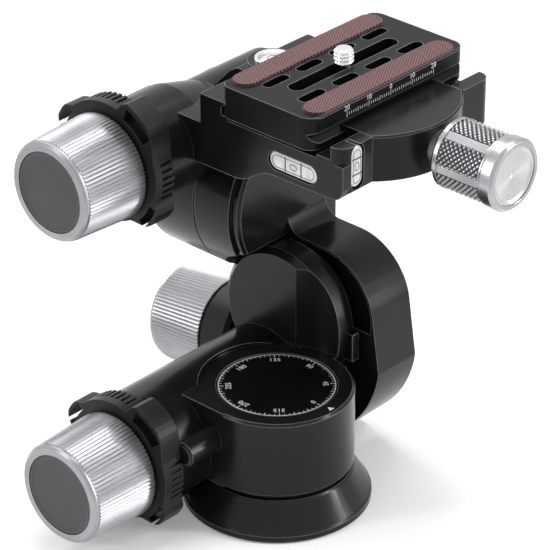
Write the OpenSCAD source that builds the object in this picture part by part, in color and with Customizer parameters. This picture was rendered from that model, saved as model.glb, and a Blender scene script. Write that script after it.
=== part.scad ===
// Geared tripod head: three worm drives (pan, side tilt, front tilt) under a dovetail clamp.
// Origin: centre of the base's lower face, on the pan axis. +Z up, -Y towards the user's knobs.

/* [Base] */
// Radius of the foot flange
base_r = 30; // [27:0.5:34]
// Height of the foot flange's upright rim
base_rim_h = 3; // [2:0.25:5]
// Height of the flange up to its shoulder
base_h = 12; // [11:0.5:16]
// Radius of the flange at its shoulder
base_top_r = 24.2; // [23.2:0.2:26]
// Radius of the tripod socket (3/8 inch thread)
socket_r = 4.7625; // [3.175:0.0125:4.7625]
// Depth of the tripod socket
socket_depth = 10; // [6:0.5:10]

/* [Pan housing] */
// Radius of the pan housing
pan_r = 24.4; // [23.8:0.1:27]
// Height of the pan housing
pan_h = 26.5; // [25.5:0.5:32]
// Radius of the degree dial
dial_r = 18.8; // [14:0.2:20]
// Thickness of the degree dial
dial_t = 1.6; // [1:0.1:2.4]
// Radius of the worm tube beside the pan housing
tube_r = 19.4; // [17:0.2:19.8]
// Reach of the worm tube in front of the pan axis
tube_reach = 38; // [34:0.5:44]

/* [Worm drives] */
// Gear module of all three drives
gear_module = 0.65; // [0.6:0.01:0.68]
// Teeth of the pan gear
pan_teeth = 60; // [56:2:62]
// Teeth of the side tilt gear
side_teeth = 54; // [50:2:56]
// Teeth of the front tilt gear
front_teeth = 52; // [48:2:54]
// Pitch radius of the worms
worm_r = 5.5; // [5:0.1:5.8]
// Turns of thread on each worm
worm_turns = 6; // [4:1:7]
// Face width of the gears
gear_w = 7; // [5:0.5:8]
// Gap between thread and tooth on each flank
backlash = 0.16; // [0.1:0.01:0.2]
// Radius of the worm shafts
shaft_r = 3.4; // [3:0.1:4.4]
// Outer radius of the worm bearings
bearing_r = 7; // [6.8:0.1:7.6]
// Length of a worm bearing
bearing_l = 6; // [4:0.5:7]

/* [Knobs] */
// Radius of a drive knob at its back
knob_back_r = 17.6; // [15:0.2:18]
// Radius of a drive knob at its front
knob_front_r = 16.5; // [14:0.1:17]
// Length of a drive knob
knob_l = 24; // [18:0.5:27]
// Flutes round a drive knob
knob_flutes = 84; // [48:4:96]
// Radius of the cap in the knob's face
knob_cap_r = 13.3; // [9:0.1:13.6]
// Thickness of a release lever
lever_t = 8; // [5:0.5:9]
// Radius of the release lever's ring
lever_ring_r = 18.4; // [17.4:0.1:19]

/* [Side tilt] */
// Radius of the pillar's barrel round the side tilt axis
pillar_r = 23.6; // [22:0.2:24]
// Radius of the pillar's front face
pillar_face_r = 21.6; // [20:0.2:21.8]
// Thickness of the tilting arm
arm_t = 18; // [17:0.5:20]
// Slope of the side worm
side_slope = 6.5; // [4:0.5:8]
// Radius of the collar behind the side knob
collar_r = 17; // [14:0.2:17.4]

/* [Front tilt] */
// Radius of the front tilt drum
drum_r = 30; // [28:0.5:30.5]
// Length of the drum part on the arm
drum_arm_l = 18; // [14:0.5:19]
// Length of the drum part on the platform
drum_top_l = 23; // [21:0.5:26]

/* [Platform] */
// Length of the platform along the plate
deck_l = 69; // [60:0.5:72]
// Thickness of the platform's front wall
wall_t = 8; // [5:0.5:10]
// Height of the clamp's jaws above the platform's floor
jaw_rise = 4.4; // [4:0.1:5]

/* [Clamp] */
// How far the clamp jaw opens
jaw_travel = 4; // [2:0.5:5]
// Radius of the clamp screw's collar
stem_r = 5.4; // [4:0.1:5.5]
// Radius of the clamp knob
clamp_knob_r = 11.6; // [9:0.2:13]
// Length of the clamp knob
clamp_knob_l = 24; // [16:0.5:28]

/* [Quick-release plate] */
// Width of the plate across the dovetail
plate_w = 38; // [37.6:0.1:38.4]
// Length of the plate
plate_l = 71.4; // [56:0.2:90]
// Thickness of the plate
plate_t = 10.6; // [9.5:0.1:12]
// Length of the slot for the camera screw
slot_l = 48; // [20:1:52]
// Width of the slot for the camera screw
slot_w = 5.4; // [5.2:0.1:7]
// Radius of the camera screw (1/4 inch thread)
camera_screw_r = 3.175; // [3:0.025:3.2]
// Height of the camera screw above the plate
camera_screw_h = 5.4; // [4:0.2:8]

/* [Hidden] */
$fn = 72;

// ---- colours ----
black_metal = "#1b1c1f";
black_plastic = "#1d1e21";
dark_metal = "#2a2b2e";
knob_grey = "#8f9195";
steel = "#9fa2a6";
bright_steel = "#cfd1d4";
brass = "#b8913a";
silver = "#c4c6c9";
clear = "#e6e8ea";
maroon = "#6d3b3f";
white_plastic = "#d9d6c8";

// ---- clearances ----
eps = 0.01;
// Radial gap of a shaft that turns in its bearing
run_gap = 0.05;
// Radial gap of a part that is seated and doesn't turn
seat_gap = 0.03;
// Gap between faces that pass each other
face_gap = 0.3;

// ---- gears and worms ----
tooth_pitch = PI * gear_module;
tooth_w = tooth_pitch / 2 - backlash;
lead_slope = gear_module / (2 * worm_r);
addendum = 0.75 * gear_module;
dedendum = 1.15 * gear_module;
flank = 20;
function gear_pitch_r(teeth) = teeth * gear_module / 2;
function centre_distance(teeth) = gear_pitch_r(teeth) + worm_r;
worm_core_r = worm_r - dedendum;
thread_r = worm_r + addendum;
tunnel_r = bearing_r + seat_gap;
bore_zone = worm_turns * tooth_pitch / 2 + 2;
worm_end = bore_zone + bearing_l + 0.4;
worm_front_seat = 2;
gear_bore_r = 7;
cavity_gap = 0.6;
function cavity_r(teeth) = gear_pitch_r(teeth) + addendum + cavity_gap;

// ---- pan stage ----
neck_r = 22.5;
neck_h = 1.2;
housing_z0 = base_h + neck_h;
housing_z1 = housing_z0 + pan_h;
pan_worm_x = -centre_distance(pan_teeth);
pan_worm_z = housing_z0 + 8.5;
spindle_foot_r = 14;
spindle_foot_h = 3;
stub_r = 4;
web_z0 = pan_worm_z + gear_w / 2 + 1.5;
web_z1 = web_z0 + 5.3;
nut_r = 8.5;
nut_h = 3.8;
washer_t = 0.4;
dial_z = housing_z1 - 0.2 - dial_t;
bush_t = 2.5;

// ---- side tilt stage ----
side_x = -19.4;
side_z = 47;
pillar_y0 = 21.8;
pillar_y1 = 31;
arm_y0 = pillar_y1 + 2;
arm_y1 = arm_y0 + arm_t;
side_gear_y = arm_y0 + arm_t / 2;
side_cd = centre_distance(side_teeth);
side_axle_r = 6;
side_knob_at = -41.5;
collar_l = 12;

// ---- front tilt stage ----
front_y = 39;
front_z = 83.4;
front_cd = centre_distance(front_teeth);
seam_x = -43.5;
drum_x1 = seam_x + drum_arm_l;
drum_x0 = seam_x - face_gap - drum_top_l;
front_gear_x = seam_x - 9;
front_knob_y = -20.7;
front_worm_z = front_z + front_cd;
front_neck_r = 13.4;
front_head_r = 16.6;
front_head_y0 = front_knob_y + lever_t + 1;
worm_end_y = 57;

// ---- platform, clamp and plate ----
deck_y0 = 1.4;
deck_y1 = deck_y0 + deck_l;
deck_x1 = 25;
deck_under = 111.4;
wall_low_z = 105.2;
floor_z = 124.7;
jaw_z1 = floor_z + jaw_rise;
plate_x = -5.1;
plate_y = 35.7;
plate_z0 = floor_z + face_gap + 0.2;
plate_z1 = plate_z0 + plate_t;
plate_edge_x0 = plate_x - plate_w / 2;
plate_edge_x1 = plate_x + plate_w / 2;
neck_depth = 2.6;
flange_h = 2;
band_h = 5;
jaw_y0 = 14.7;
jaw_y1 = 56.7;
jaw_z0 = 114;
jaw_bulge = 34;
// gap between the closed jaw and the plate, so that the plate can be slid
jaw_clear = 0.5;
// relief in the jaw behind the plate's flange
jaw_relief = 1.5;
clamp_z = 121;
clamp_y = (jaw_y0 + jaw_y1) / 2;
stem_x1 = 38.5;

// ---------- helpers ----------
module ring(r_out, r_in, h) {
  difference() {
    cylinder(r = r_out, h = h);
    translate([0, 0, -1]) cylinder(r = r_in, h = h + 2);
  }
}
// A cylinder along +Y from y0 to y1 about the axis through (x, z)
module rod_y(r, y0, y1, x = 0, z = 0) {
  translate([x, y0, z]) rotate([-90, 0, 0]) cylinder(r = r, h = y1 - y0);
}
// A cylinder along +X from x0 to x1 about the axis through (y, z)
module rod_x(r, x0, x1, y = 0, z = 0) {
  translate([x0, y, z]) rotate([0, 90, 0]) cylinder(r = r, h = x1 - x0);
}
// A turned piece: points are [along, radius] pairs, turned about +Y
module turned_y(points) {
  rotate([-90, 0, 0]) rotate_extrude() polygon([for (p = points) [p[1], p[0]]]);
}
module block(a, b) {
  translate(a) cube([b[0] - a[0], b[1] - a[1], b[2] - a[2]]);
}
// A slot outline along Y
module slot_2d(w, l) {
  union() {
    square([w, l - w], center = true);
    for (s = [-1, 1]) translate([0, s * (l - w) / 2]) circle(d = w);
  }
}

// ---------- worm drive pieces, in the drive's own frame ----------
// The gear turns about +Z at the origin, and the worm lies along +Y on the gear's -X side.
module gear(teeth, bore_r) {
  pitch_r = gear_pitch_r(teeth);
  tip_r = pitch_r + addendum;
  root_r = pitch_r - dedendum;
  function half_angle(r) = (tooth_w / 2 - (r - pitch_r) * tan(flank)) / r * 180 / PI;
  lead_turn = gear_w * lead_slope / pitch_r * 180 / PI;
  gap_turn = teeth % 2 == 0 ? 180 / teeth : 0;
  function at(r, a) = [r * cos(a), r * sin(a)];
  difference() {
    rotate([0, 0, gap_turn - lead_turn / 2])
      linear_extrude(height = gear_w, center = true, twist = -lead_turn, slices = 1, convexity = 4)
        polygon([for (i = [0 : teeth - 1]) for (k = [[root_r, -1], [tip_r, -1], [tip_r, 1], [root_r, 1]])
          at(k[0], 360 * i / teeth + k[1] * half_angle(k[0]))]);
    translate([0, 0, -gear_w]) cylinder(r = bore_r, h = 2 * gear_w);
  }
}
// Helical thread as one band, right-handed about +Y
module thread_band(turns, seg = 20) {
  n = turns * seg;
  inner_r = worm_core_r - 0.3;
  function half_w(r) = tooth_w / 2 - (r - worm_r) * tan(flank);
  function ring_points(i) = [for (k = [[inner_r, -1], [thread_r, -1], [thread_r, 1], [inner_r, 1]])
    [k[0] * cos(360 * (i - n / 2) / seg),
     tooth_pitch * (i - n / 2) / seg + k[1] * half_w(k[0]),
     -k[0] * sin(360 * (i - n / 2) / seg)]];
  polyhedron(
    points = [for (i = [0 : n]) each ring_points(i)],
    faces = concat([[3, 2, 1, 0]],
      [for (i = [0 : n - 1]) for (k = [0 : 3]) each [
        [4 * i + k, 4 * i + (k + 1) % 4, 4 * (i + 1) + (k + 1) % 4],
        [4 * i + k, 4 * (i + 1) + (k + 1) % 4, 4 * (i + 1) + k]]],
      [[4 * n, 4 * n + 1, 4 * n + 2, 4 * n + 3]]));
}
// Worm with its shaft, from y0 at the knob to y1
module worm(teeth, y0, y1) {
  translate([-centre_distance(teeth), 0, 0]) {
    union() {
      rod_y(shaft_r, y0, y1);
      rod_y(worm_core_r, -bore_zone, bore_zone);
      thread_band(worm_turns);
    }
  }
}
module worm_bearing_pair(teeth, front_y0) {
  for (y = [front_y0, bore_zone + 0.4])
    translate([-centre_distance(teeth), y, 0]) rotate([-90, 0, 0]) ring(bearing_r, shaft_r + run_gap,
      bearing_l);
}
// Space for the worm, its bearings and the shaft
module worm_tunnel(teeth, y0) {
  rod_y(tunnel_r, y0, worm_end + 0.4, -centre_distance(teeth), 0);
}
// Places children in each drive's frame
module side_frame() {
  translate([side_x, side_gear_y, side_z]) rotate([0, -side_slope, 0]) rotate([-90, -90, 0]) children();
}
module front_frame() {
  translate([front_gear_x, front_y, front_z]) rotate([0, 90, 0]) children();
}
module pan_frame() {
  translate([0, 0, pan_worm_z]) children();
}

// ---------- knobs and levers, about +Y, back face at y = 0, front at -knob_l ----------
face_ring_l = 1.6;
shaft_in_knob = 18;
module fluted_knob() {
  flute_depth = 0.5;
  grip_l = knob_l - face_ring_l;
  shrink = knob_front_r / knob_back_r;
  hub_r = shaft_r + 3;
  wall = 3;
  difference() {
    union() {
      rotate([90, 0, 0]) linear_extrude(height = grip_l, scale = shrink, convexity = 4)
        polygon([for (i = [0 : 2 * knob_flutes - 1])
          (knob_back_r - (i % 2) * flute_depth) * [cos(180 * i / knob_flutes), sin(180 * i / knob_flutes)]]);
      turned_y([[-knob_l, 0], [-knob_l, knob_front_r - 1.2], [-knob_l + 0.8, knob_front_r - 0.4],
        [-grip_l + 0.2, knob_front_r - 0.4], [-grip_l + 0.2, 0]]);
    }
    translate([0, -shaft_in_knob, 0]) rotate([-90, 0, 0])
      ring(knob_front_r - wall, hub_r, shaft_in_knob + 1);
    rod_y(shaft_r + seat_gap, -shaft_in_knob, 1);
    rod_y(knob_cap_r + seat_gap, -knob_l - 1, -knob_l + 2.4);
  }
}
module knob_face_cap() {
  turned_y([[-knob_l + 0.5, 0], [-knob_l + 0.5, knob_cap_r - 1.4], [-knob_l + 0.2, knob_cap_r - 1],
    [-knob_l + 0.2, knob_cap_r - 0.3], [-knob_l + 0.5, knob_cap_r], [-knob_l + 2.4, knob_cap_r],
    [-knob_l + 2.4, 0]]);
}
lever_boss_r = 10;
lever_line = 57;
thumb_r = 25.6;
grip_r = 21.2;
ear_r = 23.4;
function smooth(t) = (3 - 2 * t) * t * t;
function blend(a, b, t) = a + (b - a) * smooth(max(0, min(1, t)));
// Outline radius of the release lever at a signed angle from its thumb piece
function lever_outline(d) =
  d > 0 && d < 20 ? blend(thumb_r, grip_r, (d - 14) / 5) :
  d <= 0 && d > -40 ? blend(thumb_r, grip_r, (-d - 9) / 30) :
  abs(d) < 86 ? blend(grip_r, ear_r, (abs(d) - 74) / 11) :
  blend(ear_r, lever_ring_r, (abs(d) - 95) / 22);
// A sector of a ring, centred on angle a
module ring_sector(r0, r1, a, half) {
  step = half / 5;
  polygon(concat([for (t = [-half : step : half + 0.01]) r1 * [cos(a + t), sin(a + t)]],
    [for (t = [half : -step : -half - 0.01]) r0 * [cos(a + t), sin(a + t)]]));
}
module release_lever() {
  step = 4;
  groove_w = 1.15;
  groove_depth = 0.9;
  groove_pitch = 6.2;
  front_rim = 2.8;
  pocket_r0 = 19.6;
  rotate([90, 0, 0]) difference() {
    linear_extrude(height = lever_t)
      polygon([for (d = [-180 : step : 180 - step]) lever_outline(d) * [cos(d + lever_line),
        sin(d + lever_line)]]);
    translate([0, 0, -1]) cylinder(r = lever_boss_r + run_gap, h = lever_t + 2);
    // grip grooves behind the front rim
    for (a = [for (k = [0 : 6]) 27 + k * groove_pitch, for (k = [0 : 5]) -41 - k * groove_pitch])
      rotate([0, 0, lever_line + a]) translate([grip_r - groove_depth, -groove_w / 2, -1])
        cube([6, groove_w, lever_t - front_rim + 1]);
    // hollows between the ring and the thumb piece and the ears
    translate([0, 0, -1]) linear_extrude(height = lever_t + 2) {
      ring_sector(pocket_r0, 24, lever_line - 4, 15);
      for (s = [-1, 1]) ring_sector(pocket_r0, 22.2, lever_line + s * 92, 12);
    }
    // relief turned in the front face
    translate([0, 0, lever_t - 1.2]) ring(lever_ring_r - 1.4, lever_boss_r + 3, 3);
  }
}

// ================= base, fixed =================
module base_flange() {
  edge = 0.6;
  foot_land = 3;
  foot_recess_w = 9;
  foot_recess = 0.6;
  color(black_metal) difference() {
    rotate_extrude() polygon([[0, 0], [base_r - edge, 0], [base_r, edge], [base_r, base_rim_h - edge],
      [base_r - edge, base_rim_h], [base_top_r + edge / 2, base_h - edge], [base_top_r - edge / 2,
      base_h], [0, base_h]]);
    translate([0, 0, -1]) cylinder(r = socket_r, h = socket_depth + 1);
    // shallow ring turned in the foot
    translate([0, 0, -1]) ring(base_r - foot_land, base_r - foot_land - foot_recess_w, 1 + foot_recess);
    spindle_screw_places() translate([0, 0, base_h - screw_hole_l]) cylinder(r = screw_r + 2 * run_gap,
      h = screw_hole_l + 1);
  }
}
screw_r = 1.4;
screw_l = 6.5;
screw_hole_l = screw_l + 0.5;
screw_head_r = 2.7;
screw_head_h = 1.6;
screw_head_z = base_h + 1;
module spindle_screw_places() {
  for (a = [45 : 90 : 360]) rotate([0, 0, a]) translate([spindle_foot_r - 3.4, 0, 0]) children();
}
module pan_spindle() {
  color(steel) difference() {
    union() {
      translate([0, 0, base_h]) cylinder(r = spindle_foot_r, h = spindle_foot_h);
      translate([0, 0, base_h]) cylinder(r = gear_bore_r - seat_gap, h = web_z0 - 0.5 - base_h);
      translate([0, 0, base_h]) cylinder(r = stub_r, h = dial_z - base_h);
    }
    spindle_screw_places() translate([0, 0, base_h - 1]) cylinder(r = screw_r + 0.2, h = spindle_foot_h + 2);
    spindle_screw_places() translate([0, 0, screw_head_z]) cylinder(r = screw_head_r + 0.1,
      h = spindle_foot_h);
  }
}
module spindle_screws() {
  color(steel) spindle_screw_places() {
    translate([0, 0, base_h - screw_l]) cylinder(r = screw_r + run_gap, h = screw_l + 1.5);
    translate([0, 0, screw_head_z]) cylinder(r = screw_head_r, h = screw_head_h);
  }
}
module pan_gear() {
  color(brass) pan_frame() gear(pan_teeth, gear_bore_r);
  color(brass) translate([0, 0, base_h + spindle_foot_h])
    ring(gear_bore_r + 2.4, gear_bore_r, pan_worm_z - gear_w / 2 - base_h - spindle_foot_h + eps);
}
module thrust_washer() {
  color(black_plastic) translate([0, 0, base_h]) ring(neck_r, spindle_foot_r + 0.5, neck_h);
}
module spindle_nut() {
  color(steel) translate([0, 0, web_z1 + washer_t]) difference() {
    cylinder(r = nut_r, h = nut_h, $fn = 6);
    translate([0, 0, -1]) cylinder(r = stub_r + seat_gap, h = nut_h + 2);
  }
}
module dial_plate() {
  bevel = 0.4;
  color(black_plastic) translate([0, 0, dial_z]) difference() {
    cylinder(r = dial_r, h = dial_t);
    // bevelled edge
    translate([0, 0, dial_t - bevel]) rotate_extrude()
      polygon([[dial_r - bevel, bevel + eps], [dial_r + 1, bevel + eps], [dial_r + 1, -1], [dial_r, -1],
        [dial_r, 0]]);
  }
}

// ================= pan stage =================
module pan_housing() {
  recess_r = nut_r + 1;
  lip_t = 0.8;
  stem_w = 18;
  color(black_metal) difference() {
    union() {
      // round housing with a bevelled top edge
      translate([0, 0, housing_z0]) rotate_extrude() polygon([[0, 0], [pan_r - lip_t, 0], [pan_r, lip_t],
        [pan_r, pan_h - lip_t], [pan_r - lip_t, pan_h], [0, pan_h]]);
      // flat front that runs into the tube
      block([pan_worm_x, -pan_r, housing_z0], [0, 0, housing_z1]);
      block([pan_worm_x, 0, housing_z0], [-4, pan_r - 0.2, housing_z1 - lip_t]);
      // worm tube
      translate([pan_worm_x, 0, pan_worm_z]) turned_y([[-tube_reach, 0], [-tube_reach, tube_r - 1],
        [-tube_reach + 1, tube_r], [pillar_y0, tube_r], [pillar_y0, 0]]);
      rod_y(lever_boss_r, -tube_reach - lever_t - 0.4, -tube_reach + 1, pan_worm_x, pan_worm_z);
      // pillar barrel round the side tilt axis
      translate([side_x, 0, side_z]) turned_y([[pillar_y0, 0], [pillar_y0, pillar_face_r],
        [pillar_y0 + 2, pillar_r], [pillar_y1, pillar_r], [pillar_y1, 0]]);
      // stem that carries the barrel
      block([side_x - 14, pillar_y0 - 6, pan_worm_z], [side_x + stem_w, pillar_y1, side_z - 8]);
      block([side_x - 9, 6, housing_z0], [side_x + stem_w + 1, pillar_y1, pan_worm_z + 1]);
      // stop beside the barrel
      block([side_x + stem_w, pillar_y1 - 3, side_z - 9], [side_x + pillar_r + 2.4, pillar_y1, side_z + 0.6]);
    }
    // room over the foot
    translate([0, 0, -1]) cylinder(r = base_r + 1, h = housing_z0 + 1);
    // dial pocket, also cut into the pillar
    translate([0, 0, housing_z1]) cylinder(r = pan_r + 0.4, h = 60);
    translate([0, 0, web_z1 + nut_h + 1]) cylinder(r = dial_r + 0.25, h = 20);
    translate([0, 0, web_z1]) cylinder(r = recess_r, h = 20);
    // gear room and spindle
    translate([0, 0, housing_z0 - 1]) cylinder(r = cavity_r(pan_teeth), h = web_z0 - housing_z0 + 1);
    cylinder(r = stub_r + bush_t + seat_gap, h = 60);
    pan_frame() worm_tunnel(pan_teeth, -tube_reach - lever_t - 2);
    // seat of the release plunger
    rod_y(plunger_r + seat_gap, -tube_reach - 1, -pan_r + plunger_seat, plunger_x, plunger_z);
    // side axle
    rod_y(side_axle_r + seat_gap, pillar_y0 + 2, pillar_y1 + 1, side_x, side_z);
  }
}
module spindle_bush() {
  color(brass) translate([0, 0, web_z0]) ring(stub_r + bush_t, stub_r + run_gap, web_z1 - web_z0);
}
module friction_washer() {
  color(white_plastic) translate([0, 0, web_z1]) ring(nut_r, stub_r + 0.3, washer_t);
}
module pan_worm_bearings() {
  color(brass) pan_frame() worm_bearing_pair(pan_teeth, worm_front_seat - tube_reach);
}
plunger_r = 4;
plunger_seat = 3;
plunger_x = -5;
plunger_z = pan_worm_z + 7.3;
module pan_release_plunger() {
  color(dark_metal) translate([plunger_x, 0, plunger_z]) turned_y([[-tube_reach + face_gap, 0],
    [-tube_reach + face_gap, plunger_r - 0.8], [-tube_reach + face_gap + 0.8, plunger_r],
    [-pan_r + plunger_seat, plunger_r], [-pan_r + plunger_seat, 0]]);
}
module side_axle() {
  color(steel) union() {
    rod_y(side_axle_r, pillar_y0 + 2, arm_y1 - 4, side_x, side_z);
    rod_y(side_axle_r + 2, pillar_y1, side_gear_y - gear_w / 2, side_x, side_z);
  }
}
module side_gear() {
  color(brass) side_frame() gear(side_teeth, side_axle_r + seat_gap);
}
module pan_worm() {
  color(steel) pan_frame() worm(pan_teeth, pan_knob_y - shaft_in_knob, worm_end);
}
pan_knob_y = -tube_reach - lever_t - 1;
module pan_knob() {
  color(knob_grey) translate([pan_worm_x, pan_knob_y, pan_worm_z]) fluted_knob();
}
module pan_knob_cap() {
  color(dark_metal) translate([pan_worm_x, pan_knob_y, pan_worm_z]) knob_face_cap();
}
module pan_release_lever() {
  color(black_plastic) translate([pan_worm_x, -tube_reach - face_gap, pan_worm_z]) release_lever();
}

// ================= side tilt stage =================
// Outline of the arm in the XZ plane
arm_top_z = 71;
arm_lean = 8.5;
shoulder = [-10.3, 50];
shoulder_r = 21;
belly = [-26.6, 39.4];
belly_r = 40.4;
arm_left = 22;
carrier_w = 22;
carrier_l = 41;
far = 100;
module arm_outline() {
  difference() {
    union() {
      intersection() {
        union() {
          translate(shoulder) circle(r = shoulder_r);
          translate([seam_x + 2, side_z]) square([shoulder[0] - seam_x - 2, arm_top_z - side_z]);
          square([far / 2, shoulder[1] + 3]);
          translate([side_x - arm_left, 0]) square([arm_left + 14, shoulder[1]]);
        }
        // right edge: leans outwards down to the crease, then turns under
        translate(shoulder) rotate(arm_lean) translate([-far, -far]) square([far + shoulder_r, 2 * far]);
        translate(belly) circle(r = belly_r);
      }
      translate([seam_x, side_z]) square([24, arm_top_z - side_z]);
      // carrier of the side worm
      translate([side_x, side_z]) rotate(side_slope)
        translate([side_knob_at + collar_l + 0.2, -side_cd - 12]) square([carrier_l, carrier_w]);
    }
    // nothing below the foot, nothing past the seam
    translate([-far, -20]) square([2 * far, 21]);
    translate([seam_x - far, side_z - 6]) square([far, far]);
  }
}
// Pocket behind the pillar barrel, inside the arm's shoulder
pocket_t = 3;
pocket_rim = 0.9;
module arm_pocket() {
  pocket_x0 = -24;
  translate([0, arm_y0 + pocket_t, 0]) rotate([90, 0,
    0]) linear_extrude(height = pocket_t + 1) intersection() {
    union() {
      translate(shoulder) circle(r = shoulder_r - pocket_rim);
      translate([pocket_x0, side_z]) square([shoulder[0] - pocket_x0, arm_top_z - pocket_rim - side_z]);
    }
    translate([pocket_x0, side_z]) square([60, 60]);
  }
}
module tilt_arm() {
  carrier_end_r = 9;
  drum_edge = 1.2;
  groove_at = 3.4;
  color(black_metal) difference() {
    union() {
      translate([0, arm_y1, 0]) rotate([90, 0, 0]) linear_extrude(height = arm_t) arm_outline();
      // drum round the front tilt axis
      translate([drum_x1 - drum_arm_l, front_y, front_z]) rotate([0, 90, 0]) rotate_extrude()
        polygon([[0, 0], [drum_r, 0], [drum_r, drum_arm_l - groove_at], [drum_r - drum_edge,
          drum_arm_l - groove_at],
          [drum_r - drum_edge, drum_arm_l - 1], [drum_r - drum_edge - 1, drum_arm_l], [0, drum_arm_l]]);
      // fillet between the drum's end and the arm's top
      arm_fillet();
      // round end that carries the collar
      side_frame() rod_y(carrier_end_r, side_knob_at + collar_l - 0.2, side_knob_at + collar_l + 8,
        -side_cd, 0);
    }
    // the drum half ends behind the arm
    block([seam_x - 1, arm_back_y, front_z - drum_r - 1], [drum_x1 + 1, front_y + drum_r + 1,
      front_z + drum_r + 1]);
    // room for the pillar barrel
    rod_y(pillar_r + 0.7, -60, arm_y0 - eps, side_x, side_z);
    arm_pocket();
    // gear room, open towards the pillar
    rod_y(cavity_r(side_teeth), arm_y0 - 1, side_gear_y + gear_w / 2 + 0.5, side_x, side_z);
    side_frame() worm_tunnel(side_teeth, side_knob_at - 2);
    rod_y(side_axle_r + bush_t + seat_gap, arm_y0, arm_y1 + 1, side_x, side_z);
    // front axle seat and hollow of the drum
    rod_x(front_axle_r + seat_gap, seam_x - 1, drum_x1 - 5, front_y, front_z);
    translate([seam_x - 1, front_y, front_z]) rotate([0, 90, 0]) ring(drum_r - 5, front_axle_r + 5, 14);
  }
}
arm_back_y = 56;
module arm_fillet() {
  f = 6;
  difference() {
    block([drum_x1 - 1, arm_y0, arm_top_z - 1], [drum_x1 + f, arm_y1, arm_top_z + f]);
    rod_y(f, arm_y0 - 1, arm_y1 + 1, drum_x1 + f, arm_top_z + f);
  }
}
module side_axle_bush() {
  color(brass) translate([side_x, side_gear_y + gear_w / 2 + 0.7, side_z]) rotate([-90, 0, 0])
    ring(side_axle_r + bush_t, side_axle_r + run_gap, arm_y1 - side_gear_y - gear_w / 2 - 3);
}
module side_axle_cap() {
  color(dark_metal) translate([side_x, 0, side_z]) turned_y([[arm_y1 - 2, 0], [arm_y1 - 2,
    side_axle_r + bush_t],
    [arm_y1, side_axle_r + bush_t], [arm_y1, 12], [arm_y1 + 1.4, 12], [arm_y1 + 2, 11.2], [arm_y1 + 2, 0]]);
}
module side_worm_bearings() {
  color(brass) side_frame() worm_bearing_pair(side_teeth, side_knob_at + 3);
}
module side_collar() {
  color(black_plastic) side_frame() translate([-side_cd, side_knob_at + 0.3, 0]) difference() {
    turned_y([[0, 0], [0, collar_r - 0.6], [0.6, collar_r], [collar_l - 2, collar_r], [collar_l - 0.5,
      collar_r - 1.5],
      [collar_l - 0.5, 0]]);
    rod_y(tunnel_r, -1, collar_l + 1);
  }
}
front_axle_r = 6;
module front_axle() {
  color(steel) rod_x(front_axle_r, drum_x0 + 4, drum_x1 - 5, front_y, front_z);
}
module front_gear() {
  color(brass) front_frame() gear(front_teeth, front_axle_r + seat_gap);
  color(brass) translate([seam_x, front_y, front_z]) rotate([0, -90, 0])
    ring(front_axle_r + 3, front_axle_r + seat_gap, seam_x - front_gear_x - gear_w / 2 + eps);
}
module side_worm() {
  color(steel) side_frame() worm(side_teeth, side_knob_at - shaft_in_knob, worm_end);
}
module side_knob() {
  color(knob_grey) side_frame() translate([-side_cd, side_knob_at, 0]) fluted_knob();
}
module side_knob_cap() {
  color(dark_metal) side_frame() translate([-side_cd, side_knob_at, 0]) knob_face_cap();
}

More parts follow.
